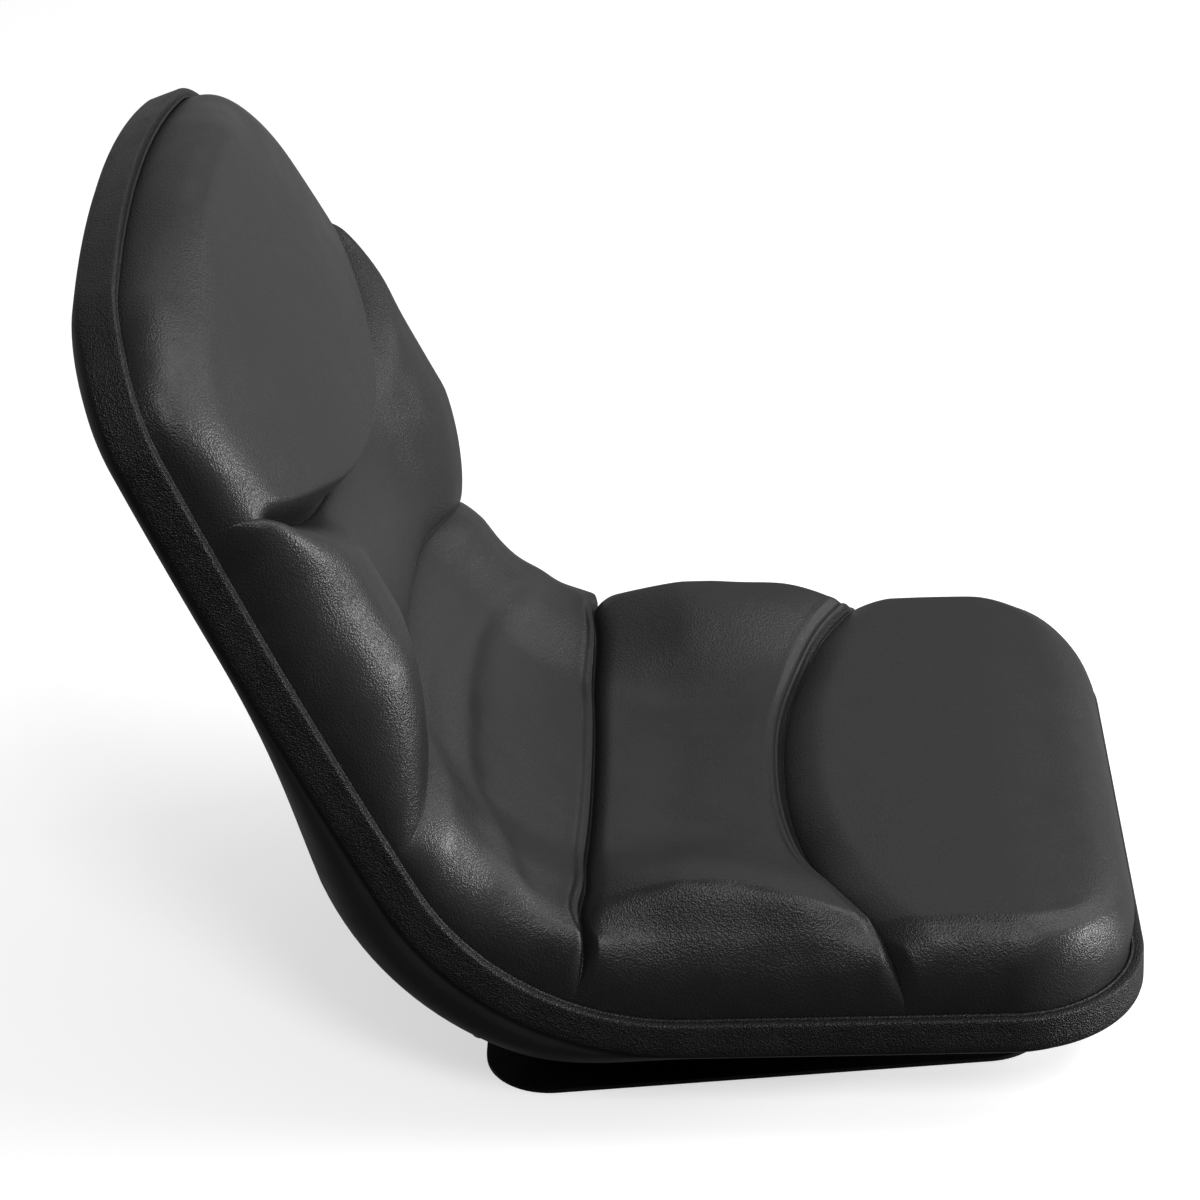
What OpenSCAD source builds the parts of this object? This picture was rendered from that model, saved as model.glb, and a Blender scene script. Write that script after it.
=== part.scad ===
// Tractor seat: a one-piece moulded cushion in a deep bucket shell, with a grained
// edge trim round the rim, on a flat steel mounting plate.
// The seat faces -Y, +Z is up, and the origin is the centre of the plate's underside.
//
// Rim, cushion and shell share one curved sheet. A place on it is s, the distance along
// the seat's middle from the front edge to the top of the back, and x, the distance to
// the side. Heights are measured square to that sheet, towards the person who sits.

/* [Rim line] */
// Width across the line where the cushion meets its trim
rim_w = 476; // [420:1:520]
// Reach of the rim ahead of the plate's centre
front_reach = 239; // [200:1:280]
// Height of the level part of the rim above the plate's top face
rim_h = 88; // [70:1:120]
// Length of the level part, from the front edge to the bend
seat_l = 291; // [240:1:330]
// Radius of the bend between seat and back
bend_r = 188; // [140:1:240]
// Length of the back above the bend
back_l = 426; // [360:1:500]
// Lean of the back from upright, just above the bend
lean_low = 25.5; // [15:0.5:35]
// Lean of the back at its top
lean_top = 20.5; // [10:0.5:30]
// Radius of the two front corners
front_r = 83; // [50:1:110]
// Radius of the two top corners
top_r = 77; // [50:1:120]
// Fall of the top edge from its middle to the corners
top_crown = 16; // [0:1:30]

/* [Cushion] */
// Height of the front pad
front_pad_h = 58; // [40:1:70]
// How far the front pad bulges out over the trim
front_bulge = 9; // [0:1:14]
// Height of the hollow between the seat bolsters
hollow_h = 48; // [30:1:60]
// Height of the seat bolsters
bolster_h = 85; // [60:1:95]
// Height of the low back pad at its front
low_back_h = 36; // [20:1:50]
// Height of the lumbar pad in its middle
lumbar_h = 34; // [20:1:50]
// Height of the lumbar wings
wing_h = 65.5; // [40:1:75]
// Height of the upper pad at its lower edge
upper_pad_h = 62; // [40:1:75]
// Middle of the groove behind the front pad
front_groove_s = 223; // [190:1:250]
// How far that groove bows towards the front at the bolsters
front_groove_bow = 51; // [20:1:70]
// Middle of the groove between seat and back
seat_groove_s = 367; // [340:1:400]
// How far that groove bows towards the back at the bolsters
seat_groove_bow = 14; // [0:1:30]
// Middle of the crease under the lumbar pad
crease_s = 567; // [530:1:600]
// How far the crease bows down at the wings
crease_bow = 30; // [0:1:60]
// Middle of the groove under the upper pad
pad_groove_s = 690; // [660:1:720]
// How far that groove bows up at the sides
pad_groove_bow = 62; // [20:1:90]
// Skirt of the cushion below the rim line
skirt_h = 7; // [4:1:12]
// Air gap between the cushion's underside and the shell
under_gap = 4.5; // [2:0.5:8]

/* [Shell] */
// Wall thickness
shell_wall = 4; // [2.5:0.5:6]
// Straight edge of the shell below the rim line
shell_edge_h = 22; // [15:1:30]
// Extra depth behind the bend
bend_belly = 10; // [0:1:25]
// Loss of depth from the bend to the upper back
back_taper = 49; // [20:1:60]
// Width over which the side walls round into the bottom
bowl_w = 143; // [100:1:170]

/* [Edge trim] */
// Depth of the trim's outer leg below the rim line
trim_h = 22; // [15:1:30]
// Thickness of the trim's legs
trim_t = 2.4; // [1.5:0.1:4]
// Depth of the trim's inner leg
trim_lip = 9; // [5:1:14]

/* [Mounting plate] */
// Thickness
plate_t = 3; // [2:0.5:6]
// Length, front to back
plate_l = 380; // [340:1:420]
// Width along the rear edge
plate_rear_w = 374; // [300:1:400]
// Width along the front edge
plate_front_w = 314; // [280:1:400]
// Corner radius
plate_r = 45; // [20:1:60]
// Distance between the mounting holes across the plate
mount_x = 280; // [200:1:300]
// Distance between the mounting holes along the plate
mount_y = 250; // [200:1:300]
// Diameter of the mounting holes
mount_d = 9; // [6:0.5:12]

/* [Front riser] */
// Length of the folded channel across the plate
riser_w = 280; // [240:1:300]
// Height of the channel
riser_h = 17; // [12:1:24]
// Width of its flanges
riser_flange = 30; // [24:1:40]
// Sheet thickness
riser_t = 2.5; // [2:0.5:4]
// Distance of its web ahead of the plate's centre
riser_y = 174; // [150:1:180]

/* [Fasteners] */
// Thread diameter of the shell and riser screws
screw_d = 6; // [5:1:8]
// Distance between the shell screws across the seat
screw_x = 130; // [80:1:180]
// Place of the rear shell screws behind the plate's centre
rear_screw_y = 36; // [0:1:60]
// Distance between the riser's own screws
riser_screw_x = 220; // [180:1:250]
// Distance along the rim of the two side screws
side_screw_s = 392; // [340:1:420]
// Distance of the side screws from the middle
side_screw_x = 178.4; // [120:0.1:220]

/* [Hidden] */
turn = 90 - lean_low;
bend_l = bend_r * turn * PI / 180;
back_r = back_l / ((lean_low - lean_top) * PI / 180);
rim_l = seat_l + bend_l + back_l;
rim_z = plate_t + rim_h;
half = rim_w / 2;
edge_gap = 0.4;
trim_in = edge_gap + 2 * trim_t / 3;
shell_out = trim_in + edge_gap + shell_wall;
top_flat = half - top_r;
crown_s = rim_l - 250;
screw_head_d = 11.3;
hex_af = 10;
hex_head_h = 4;
nut_h = 5;
deck_z = plate_t + riser_h;
side_washer_r = 7.7;
side_lift = 0.3;
spring_t = 1.6;
washer_t = 1.2;
nut_barrel_r = 4.1;
nut_flange_r = 9;
nut_flange_t = 1.6;
// the shell has a flat ledge that sits on the riser
ledge_d = rim_z - plate_t - riser_h;
ledge_s = front_reach - riser_y + riser_flange / 2;
front_screw_y = riser_flange / 2 - riser_y;
black = [0.13, 0.13, 0.13];
dark = [0.19, 0.19, 0.19];
steel = [0.55, 0.56, 0.58];

// Shaping functions
function lerp(a, b, t) = a + (b - a) * t;
function unit(v) = v / norm(v);
function clamp(t) = min(max(t, 0), 1);
function smooth(a, b, v) = let(t = clamp((v - a) / (b - a))) t * t * (3 - 2 * t);
function dome(t, n = 2) = pow(1 - pow(1 - clamp(t), n), 1 / n);

// Middle line of the sheet as [y, z], and its slope in degrees
function slope(s) =
    s < seat_l ? 0
    : s < seat_l + bend_l ? (s - seat_l) / bend_r * 180 / PI
    : turn + (s - seat_l - bend_l) / back_r * 180 / PI;
function mid(s) =
    let(a = slope(s))
    s < seat_l ? [s - front_reach, rim_z]
    : s < seat_l + bend_l ? [seat_l - front_reach + bend_r * sin(a), rim_z + bend_r * (1 - cos(a))]
    : [
        seat_l - front_reach + bend_r * sin(turn) + back_r * (sin(a) - sin(turn)),
        rim_z + bend_r * (1 - cos(turn)) + back_r * (cos(turn) - cos(a)),
    ];
function at(s, x, h) = let(p = mid(s), a = slope(s)) [x, p[0] - h * sin(a), p[1] + h * cos(a)];

// Outline of the sheet: half its width at s, and the distance from a place to its edge.
// The crown bends the rows near the top; without it the outline is a rounded rectangle.
function crown(x) = top_crown * pow(min(abs(x) / top_flat, 1.3), 2);
function crowned(s, x) = s - crown(x) * max(s - crown_s, 0) / (rim_l - crown_s);
function uncrown(s, x) =
    s < crown_s ? s : crown_s + (s - crown_s) / (1 - crown(x) / (rim_l - crown_s));
function corner(r, d) = d >= r ? 0 : r - sqrt(max(r * r - pow(r - d, 2), 0));
function half_width(s, grow = 0) =
    half + grow - max(corner(front_r + grow, s + grow), corner(top_r + grow, rim_l + grow - s));
function inset(s, x, grow = 0) =
    let(
        u = uncrown(s, x),
        side = half + grow - abs(x),
        end = min(u, rim_l - u) + grow,
        r = (u < rim_l / 2 ? front_r : top_r) + grow
    )
    side < r && end < r ? r - norm([r - side, r - end]) : min(side, end);

// The four grooves of the cushion, and the top edge, each as s for a given x
function front_groove(x) = front_groove_s - front_groove_bow * pow(abs(x) / 205, 2.3);
function seat_groove(x) =
    seat_groove_s + seat_groove_bow * (pow(min(abs(x) / 195, 1), 2.5) - smooth(205, 238, abs(x)));
function crease(x) = crease_s - crease_bow * pow(abs(x) / 215, 2.6);
function pad_groove(x) = pad_groove_s + pad_groove_bow * pow(abs(x) / 200, 2);
function top_edge(x) = rim_l - crown(x);

// Height between two grooves: low at each, rounding up over w0 and w1 to h
function pillow(h, low0, w0, low1, w1, from0, from1, n = 1.5) =
    let(rear = low0 + (h - low0) * dome(from0 / w0, n))
    low1 + (rear - low1) * dome(from1 / w1, n);

function cushion_base(s, x) =
    let(
        b = smooth(105, 180, abs(x)),
        bowl = smooth(80, 196, abs(x)),
        wing = smooth(60, 175, abs(x)),
        c1 = front_groove(x),
        c2 = seat_groove(x),
        c3 = crease(x),
        c4 = pad_groove(x),
        low1 = lerp(42, 52, b),
        low2 = lerp(28, 44, b),
        low3 = lerp(12, 28, b),
        low4 = lerp(lerp(22, 20, b), 44, smooth(210, 232, abs(x)))
    )
    s < c1 ?
        let(t = s / c1)
        pillow(
            front_pad_h - 4 * (1 - t) + 3 * sin(180 * t) + 7 * smooth(110, 205, abs(x)),
            0, 0.01, low1, 26, s + 1, c1 - s
        )
    : s < c2 ?
        let(t = (s - c1) / (c2 - c1))
        lerp(
            pillow(hollow_h + 2 - 6 * t, low1, 22, low2, 40, s - c1, c2 - s),
            pillow(bolster_h, low1, 100, low2, 90, s - c1, c2 - s, 1.6),
            bowl
        )
    : s < c3 ?
        let(
            t = (s - c2) / (c3 - c2),
            ridge_s = 510 - 58 * pow(abs(x) / 205, 2.2),
            ridge = 6 * exp(-pow((s - ridge_s) / 18, 2)),
            middle = low_back_h - 16 * t + ridge,
            sides = 50 - 14 * t + ridge / 2
        )
        pillow(lerp(middle, sides, b), low2, 16, low3, 22, s - c2, c3 - s)
    : s < c4 ?
        let(
            t = (s - c3) / (c4 - c3),
            rise = low3 + (lerp(lumbar_h, wing_h - 5 * t, wing) - low3) * dome((s - c3) / 90, 1.3)
        )
        low4 + (rise - low4) * dome((c4 - s) / 40)
    : pillow(lerp(40, 30, (s - c4) / (rim_l - c4)), low4, 30, 0, 0.01, s - c4, 1);

// The oval face of the upper pad stands out of the base
function upper_pad(s, x) =
    let(
        middle_s = 800,
        v = s > middle_s ? (s - middle_s) / 230 : (middle_s - s) / 100,
        r = sqrt(pow(abs(x) / 210, 2.7) + v * v)
    )
    smooth(-11, 20, (1 - r) * 100);

// Over what width the cushion rolls down to its edge: tight along the front and the top
function side_roll(s, x) =
    28 + 22 * smooth(380, 560, s) - 10 * smooth(690, 780, s)
    + lerp(-12, 40, smooth(60, 180, abs(x))) * smooth(820, 900, s);

function cushion_h(s, x) =
    let(
        base = cushion_base(s, x),
        face = upper_pad_h * (1 - 0.2 * pow(abs(x) / 225, 3)) - 8 * smooth(720, 920, s),
        h = lerp(base, face, upper_pad(s, x)),
        edge = dome(inset(s, x) / side_roll(s, x), 2 + 0.8 * smooth(690, 780, s))
    )
    h * edge * pow(dome(s / 40), 0.6);

// A place on the cushion's upper face; along the front it leans out over the trim
function cushion_top(s, x) =
    let(
        h = cushion_h(s, x),
        lean = front_bulge * smooth(2, 22, h) * (1 - smooth(0, 70, s)) * (1 - smooth(130, 215, abs(x)))
    )
    at(s - lean, x, h);

// Depth of the shell's outer face below the sheet, and of its inner face
function shell_depth(s) =
    rim_h + bend_belly * smooth(310, 400, s) - back_taper * smooth(402, 700, s);
function shell_fullness(s) = 1.25 + 0.6 * smooth(290, 380, s);
function ledge(s, x) =
    smooth(ledge_s - 30, ledge_s - 16, s) * (1 - smooth(ledge_s + 16, ledge_s + 32, s))
    * (1 - smooth(149, 178, abs(x)));
function outer_d(s, x) =
    let(d = inset(s, x, shell_out))
    d <= 0.01 ? shell_edge_h
    : lerp(
        lerp(shell_edge_h, shell_depth(s), dome(d / bowl_w, shell_fullness(s))),
        ledge_d, ledge(s, x)
    );
function inner_d(s, x) =
    let(d = inset(s, x, shell_out - shell_wall))
    d <= 0 ? 0
    : lerp(
        lerp(shell_edge_h - 1, shell_depth(s) - shell_wall, dome(d / (bowl_w - 1), shell_fullness(s))),
        ledge_d - shell_wall, ledge(s, x)
    );

// Faces between rings of equal length. A ring runs to the right along its lower side, points
// 0 to k, and back along its upper side; each end is a strip of triangles between the two.
function strip(ring, k) =
    let(
        upper = [for (j = [len(ring) - 1:-1:k + 1]) j],
        near = [for (i = [0:k - 1])
            let(m = (ring[i][0] + ring[i + 1][0]) / 2)
            min(len([for (j = upper) if (ring[j][0] < m) 1]), len(upper) - 1)]
    )
    concat(
        [for (i = [0:k - 1]) [i, i + 1, upper[near[i]]]],
        [for (t = [0:len(upper) - 2])
            let(i = len([for (v = near) if (v <= t) 1])) [i, upper[t + 1], upper[t]]]
    );
module loft(rings, k) {
    n = len(rings[0]);
    last = len(rings) - 1;
    first_end = [for (f = strip(rings[0], k)) [f[0], f[2], f[1]]];
    last_end = [for (f = strip(rings[last], k)) [for (j = f) last * n + j]];
    sides = [
        for (i = [0:last - 1], j = [0:n - 1])
            let(a = i * n, b = a + n, next = (j + 1) % n)
            each [[a + j, a + next, b + next], [a + j, b + next, b + j]]
    ];
    polyhedron(
        points = [for (r = rings) each r],
        faces = concat(first_end, last_end, sides),
        convexity = 10
    );
}

// cushion
// Rows run across the seat and follow the grooves; t goes from one groove to the next
function row_s(k, t, x) =
    k == 0 ? t * front_groove_s + (front_groove(x) - front_groove_s) * t * t
    : k == 1 ? lerp(front_groove(x), seat_groove(x), t)
    : k == 2 ? lerp(seat_groove(x), crease(x), t)
    : k == 3 ? lerp(crease(x), pad_groove(x), t)
    : lerp(pad_groove(x), top_edge(x), t);
function row_half(k, t) =
    let(
        x0 = half_width(row_s(k, t, 0)),
        x1 = half_width(uncrown(row_s(k, t, x0), x0))
    )
    half_width(uncrown(row_s(k, t, x1), x1));

front_rows = [0, 0.01, 0.03, 0.06, 0.1, 0.16, 0.23, 0.29, 0.36, 0.43, 0.5, 0.65, 0.8, 0.9, 0.96, 0.99];
pad_rows = [0, 0.01, 0.04, 0.1, 0.2, 0.35, 0.5, 0.65, 0.8, 0.9, 0.96, 0.99];
top_rows = [0, 0.01, 0.04, 0.1, 0.2, 0.35, 0.5, 0.65, 0.78, 0.86, 0.92, 0.96, 0.985, 0.996, 1];
rows = [
    for (k = [0:4], t = k == 0 ? front_rows : k == 4 ? top_rows : pad_rows) [k, t]
];

// Places across a row, from one edge to the other, close together where the side rolls over
function across(w, edges, inner) =
    let(
        last = edges[len(edges) - 1],
        right = concat([for (e = edges) w - e], [for (i = [inner:-1:1]) (w - last) * i / (inner + 1)])
    )
    concat([for (x = right) -x], [0], [for (i = [len(right) - 1:-1:0]) right[i]]);

module cushion() {
    over = [0, 1, 3, 7, 13, 21, 32, 46, 64];
    under = [0, 5, 14, 32, 62];
    rings = [
        for (r = rows)
            let(w = row_half(r[0], r[1]))
            concat(
                [for (x = across(w, under, 1))
                    let(s = row_s(r[0], r[1], x), d = inset(s, x))
                    at(s, x, d < 0.5 ? -skirt_h : -inner_d(s, x) + under_gap)],
                [for (x = across(w, over, 5))
                    cushion_top(row_s(r[0], r[1], -x), -x)]
            )
    ];
    color(dark)
        difference() {
            loft(rings, 2 * (len(under) + 1));
            // pockets over the bolt heads and tee nuts
            for (side = [-1, 1]) {
                translate([side * screw_x / 2, front_screw_y, deck_z])
                    cylinder(h = shell_wall + 9, r = 12);
                translate([side * screw_x / 2, rear_screw_y, plate_t])
                    cylinder(h = shell_wall + 9, r = 12);
            }
        }
}

// shell
// Rows close enough in the corners for the trim to clear them
corner_insets = concat(
    [0, 1, shell_wall - 0.4, shell_wall + 0.4],
    [for (a = [24:8:72]) (front_r + shell_out) * (1 - cos(a))]
);
shell_rows = concat(
    [for (i = corner_insets) i - shell_out],
    [for (d = [-16, -8, 3, 16, 32]) ledge_s + d],
    [145, 190, 240],
    [for (i = [0:14]) seat_l + bend_l * i / 14],
    [for (i = [1:5]) lerp(seat_l + bend_l, rim_l - 75, i / 6)],
    [rim_l - 75, rim_l - 60],
    [for (i = [len(corner_insets) - 1:-1:0]) rim_l + shell_out - corner_insets[i]]
);

module shell_skin() {
    outer = [0, 1.5, 5, 12, 24, 42, 66, 96];
    inner = [0.4, 2, 5, 12, 24, 42, 66, 96];
    rings = [
        for (s0 = shell_rows)
            let(
                w = half_width(s0, shell_out),
                v = min(half_width(s0, shell_out - shell_wall), w - 1.5)
            )
            concat(
                [for (x = across(w, outer, 2)) let(s = crowned(s0, x)) at(s, x, -outer_d(s, x))],
                [for (x = [w, v + 0.4]) at(crowned(s0, x), x, 0)],
                [for (x = across(v, inner, 2)) let(s = crowned(s0, x)) at(s, -x, -inner_d(s, -x))],
                [for (x = [v + 0.4, w]) at(crowned(s0, x), -x, 0)]
            )
    ];
    loft(rings, 2 * (len(outer) + 2));
}

// Places a child square to the shell's outer face at (s, x), with +Z pointing outwards
module on_shell(s, x) {
    p = at(s, x, -outer_d(s, x));
    along = unit(at(s + 1, x, -outer_d(s + 1, x)) - at(s - 1, x, -outer_d(s - 1, x)));
    across_x = at(s, x + 1, -outer_d(s, x + 1)) - at(s, x - 1, -outer_d(s, x - 1));
    out = unit(cross(along, across_x));
    side = cross(out, along);
    multmatrix([
        [along[0], side[0], out[0], p[0]],
        [along[1], side[1], out[1], p[1]],
        [along[2], side[2], out[2], p[2]],
    ])
        children();
}

module shell() {
    bore = screw_d + 0.5;
    color(dark)
        difference() {
            shell_skin();
            for (side = [-1, 1]) {
                translate([side * screw_x / 2, front_screw_y, deck_z - 1]) cylinder(h = shell_wall + 2, d = bore);
                translate([side * screw_x / 2, rear_screw_y, plate_t - 1])
                    cylinder(h = shell_wall + 2, r = nut_barrel_r + edge_gap / 2);
                on_shell(side_screw_s, side * side_screw_x)
                    translate([0, 0, -shell_wall - 3])
                        cylinder(h = shell_wall + 6, r = nut_barrel_r + edge_gap / 2);
            }
        }
}

// edge trim: a U section pushed over the shell's edge, all the way round
// Stations along the rim line as [s, x, outward in s, outward in x]
arc_steps = 12;
right_stations = concat(
    [[0, 0, -1, 0], [0, (half - front_r) / 2, -1, 0]],
    [for (i = [0:arc_steps]) let(a = 90 * i / arc_steps)
        [front_r * (1 - cos(a)), half - front_r * (1 - sin(a)), -cos(a), sin(a)]],
    [for (i = [1:3]) [lerp(front_r, seat_l, i / 3), half, 0, 1]],
    [for (i = [1:14]) [seat_l + bend_l * i / 14, half, 0, 1]],
    [for (i = [1:6]) [lerp(seat_l + bend_l, rim_l - top_r, i / 7), half, 0, 1]],
    [for (i = [0:arc_steps]) let(a = 90 * i / arc_steps)
        [rim_l - top_r * (1 - sin(a)), half - top_r * (1 - cos(a)), sin(a), cos(a)]],
    [for (i = [7:-1:0]) [rim_l, top_flat * i / 8, 1, 0]]
);
stations = concat(
    right_stations,
    [for (i = [len(right_stations) - 2:-1:1]) let(t = right_stations[i]) [t[0], -t[1], t[2], -t[3]]]
);

module edge_trim() {
    leg_in = trim_in;
    leg_out = shell_out + edge_gap;
    face = leg_out + trim_t;
    section = [
        [edge_gap, -trim_lip], [leg_in, -trim_lip], [leg_in, 0.2], [leg_out, 0.2],
        [leg_out, -trim_h + 1], [leg_out + 0.6, -trim_h], [face - 0.4, -trim_h + 0.2],
        [face + 0.3, -trim_h + 3], [face, -2], [face - 0.9, 1.2], [face - 2.6, 2.6],
        [edge_gap + 1.4, 2.6], [edge_gap + 0.4, 1.8],
    ];
    n = len(section);
    m = len(stations);
    points = [
        for (t = stations, q = section)
            let(x = t[1] + q[0] * t[3], s = crowned(t[0] + q[0] * t[2], x))
            at(s, x, q[1])
    ];
    faces = [
        for (i = [0:m - 1], j = [0:n - 1])
            let(a = i * n, b = (i + 1) % m * n, k = (j + 1) % n)
            each [[a + j, b + k, a + k], [a + j, b + j, b + k]]
    ];
    color(black) polyhedron(points = points, faces = faces, convexity = 10);
}

// mounting plate
module plate_outline() {
    lean = atan((plate_rear_w - plate_front_w) / 2 / plate_l);
    c = [cos(lean), sin(lean)] * plate_r;
    rear = [plate_rear_w / 2 - plate_r, plate_l / 2 - plate_r];
    front = [plate_front_w / 2 - plate_r + (plate_rear_w - plate_front_w) / 2 * plate_r / plate_l,
        plate_r - plate_l / 2];
    right = [
        [front[0], -plate_l / 2], [front[0] + c[0], front[1] - c[1]],
        [rear[0] + c[0], rear[1] - c[1]], [rear[0], plate_l / 2],
    ];
    polygon(concat(right, [for (i = [3:-1:0]) [-right[i][0], right[i][1]]]));
    for (side = [-1, 1], p = [front, rear])
        translate([side * p[0], p[1]]) circle(r = plate_r, $fn = 96);
}

module base_plate() {
    color(black)
        difference() {
            linear_extrude(plate_t) plate_outline();
            for (x = [-1, 1], y = [-1, 1])
                translate([x * mount_x / 2, y * mount_y / 2, -1])
                    cylinder(h = plate_t + 2, d = mount_d, $fn = 48);
            for (side = [-1, 1]) {
                translate([side * screw_x / 2, rear_screw_y, 0]) countersunk_hole();
                translate([side * riser_screw_x / 2, front_screw_y, 0]) countersunk_hole();
            }
        }
}

// front riser: a folded channel that is open towards the back
module riser_profile() {
    r = riser_t;
    for (top = [0, 1])
        translate([0, top * riser_h]) mirror([0, top]) {
            translate([-riser_y + r * 2, 0]) square([riser_flange - r * 2, r]);
            translate([-riser_y + r * 2, r * 2])
                intersection() {
                    difference() {
                        circle(r = r * 2, $fn = 48);
                        circle(r = r, $fn = 48);
                    }
                    translate([-r * 2, -r * 2]) square(r * 2);
                }
        }
    translate([-riser_y, r * 2]) square([r, riser_h - r * 4]);
}

module front_riser() {
    color(black)
        difference() {
            translate([-riser_w / 2, 0, plate_t])
                rotate([90, 0, 90]) linear_extrude(riser_w) riser_profile();
            for (side = [-1, 1]) {
                translate([side * screw_x / 2, front_screw_y, plate_t + riser_h - riser_t - 1])
                    cylinder(h = riser_t + 2, d = screw_d + 0.6, $fn = 48);
                translate([side * riser_screw_x / 2, front_screw_y, plate_t - 1])
                    cylinder(h = riser_t + 2, d = screw_d + 0.4, $fn = 48);
            }
        }
}

// fasteners
module countersunk_hole() {
    translate([0, 0, -1]) cylinder(h = plate_t + 2, d = screw_d + 0.4, $fn = 48);
    translate([0, 0, -0.01])
        cylinder(h = (screw_head_d - screw_d) / 2, d1 = screw_head_d + 0.4, d2 = screw_d + 0.4, $fn = 48);
}

// A countersunk socket screw, head flush with z = 0 and its shank upwards
module countersunk_screw(length) {
    color(steel)
        difference() {
            union() {
                translate([0, 0, 0.1])
                    cylinder(h = (screw_head_d - screw_d) / 2 - 0.1, d1 = screw_head_d - 0.1, d2 = screw_d, $fn = 48);
                cylinder(h = length - 0.5, d = screw_d, $fn = 48);
                translate([0, 0, length - 0.5]) cylinder(h = 0.5, d1 = screw_d, d2 = screw_d - 1, $fn = 48);
            }
            translate([0, 0, -1]) cylinder(h = 2.6, d = screw_d * 0.7, $fn = 6);
        }
}

// A tee nut with its flange above z = 0 and its barrel below
module tee_nut(barrel, flange_r, flange_t) {
    color(steel)
        difference() {
            union() {
                cylinder(h = flange_t, r = flange_r, $fn = 48);
                translate([0, 0, -barrel]) cylinder(h = barrel + 0.1, r = nut_barrel_r, $fn = 48);
            }
            translate([0, 0, -barrel - 1])
                cylinder(h = barrel + flange_t + 2, d = screw_d + 0.1, $fn = 48);
        }
}

module hex_nut() {
    color(steel)
        difference() {
            cylinder(h = nut_h, d = hex_af / cos(30), $fn = 6);
            translate([0, 0, -1]) cylinder(h = nut_h + 2, d = screw_d + 0.1, $fn = 48);
        }
}

module ring(inner_d, outer_d, h) {
    difference() {
        cylinder(h = h, d = outer_d, $fn = 48);
        translate([0, 0, -1]) cylinder(h = h + 2, d = inner_d, $fn = 48);
    }
}

// A hexagon bolt, the underside of its head at z = 0 and its shank downwards
module hex_bolt(length) {
    color(steel) {
        intersection() {
            cylinder(h = hex_head_h, d = hex_af / cos(30), $fn = 6);
            // the chamfer that takes the corners off the top of the head
            union() {
                cylinder(h = hex_head_h - 0.7, d = hex_af / cos(30), $fn = 48);
                translate([0, 0, hex_head_h - 0.7])
                    cylinder(h = 0.7, d1 = hex_af / cos(30), d2 = hex_af * 0.98, $fn = 48);
            }
        }
        translate([0, 0, -length + 0.5]) cylinder(h = length - 0.4, d = screw_d, $fn = 48);
        translate([0, 0, -length]) cylinder(h = 0.5, d1 = screw_d - 1, d2 = screw_d, $fn = 48);
    }
}

// A split spring washer on z = 0
module spring_washer() {
    color(steel)
        difference() {
            ring(screw_d + 0.3, screw_d * 1.9, spring_t);
            rotate([0, 0, 20]) translate([0, -0.6, -1]) cube([screw_d, 1.2, spring_t + 2]);
        }
}

// A button-head socket screw, the underside of its head at z = 0 and its shank downwards
module button_screw(length) {
    head_r = screw_d * 0.9;
    head_h = screw_d * 0.55;
    color(steel)
        difference() {
            union() {
                intersection() {
                    translate([0, 0, head_h - head_r * 1.3]) sphere(r = head_r * 1.3, $fn = 64);
                    cylinder(h = head_h, r = head_r, $fn = 64);
                }
                translate([0, 0, -length]) cylinder(h = length + 0.2, d = screw_d, $fn = 48);
            }
            translate([0, 0, head_h - 1.8]) cylinder(h = 3, d = screw_d * 0.7, $fn = 6);
        }
}

// A cupped washer on z = 0 that holds the head of the side screw
module cup_washer() {
    color(black)
        difference() {
            union() {
                cylinder(h = 1.2, r = side_washer_r, $fn = 64);
                translate([0, 0, 1.2]) cylinder(h = 1, r1 = side_washer_r, r2 = side_washer_r - 0.8, $fn = 64);
            }
            translate([0, 0, 1.2]) cylinder(h = 2, r = side_washer_r - 1.4, $fn = 64);
            translate([0, 0, -1]) cylinder(h = 4, d = screw_d + 0.4, $fn = 48);
        }
}

// Where the fasteners sit; side is 1 on the left and -1 on the right
module at_rear_screw(side) translate([side * screw_x / 2, rear_screw_y, 0]) children();
module at_front_bolt(side) translate([side * screw_x / 2, front_screw_y, 0]) children();
module at_riser_screw(side) translate([side * riser_screw_x / 2, front_screw_y, 0]) children();
module at_side_screw(side) on_shell(side_screw_s, side * side_screw_x) children();

module rear_screw(side) at_rear_screw(side) countersunk_screw(plate_t + shell_wall + nut_flange_t + 0.6);
module rear_tee_nut(side)
    at_rear_screw(side) translate([0, 0, plate_t + shell_wall]) tee_nut(shell_wall - 0.4, nut_flange_r, nut_flange_t);

// from the inside of the shell down: bolt, washer, shell, riser, spring washer, nut
module front_bolt(side)
    at_front_bolt(side) translate([0, 0, deck_z + shell_wall + washer_t + 0.04])
        hex_bolt(washer_t + shell_wall + riser_t + spring_t + nut_h + 1.1);
module front_washer(side) color(steel)
    at_front_bolt(side) translate([0, 0, deck_z + shell_wall + 0.02]) ring(screw_d + 0.4, screw_d * 3, washer_t);
module front_lock_washer(side)
    at_front_bolt(side) translate([0, 0, deck_z - riser_t - spring_t - 0.02]) spring_washer();
module front_nut(side)
    at_front_bolt(side) translate([0, 0, deck_z - riser_t - spring_t - nut_h - 0.04]) hex_nut();

module riser_screw(side) at_riser_screw(side) countersunk_screw(plate_t + riser_t + nut_h + 0.4);
module riser_nut(side) at_riser_screw(side) translate([0, 0, plate_t + riser_t]) hex_nut();

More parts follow.
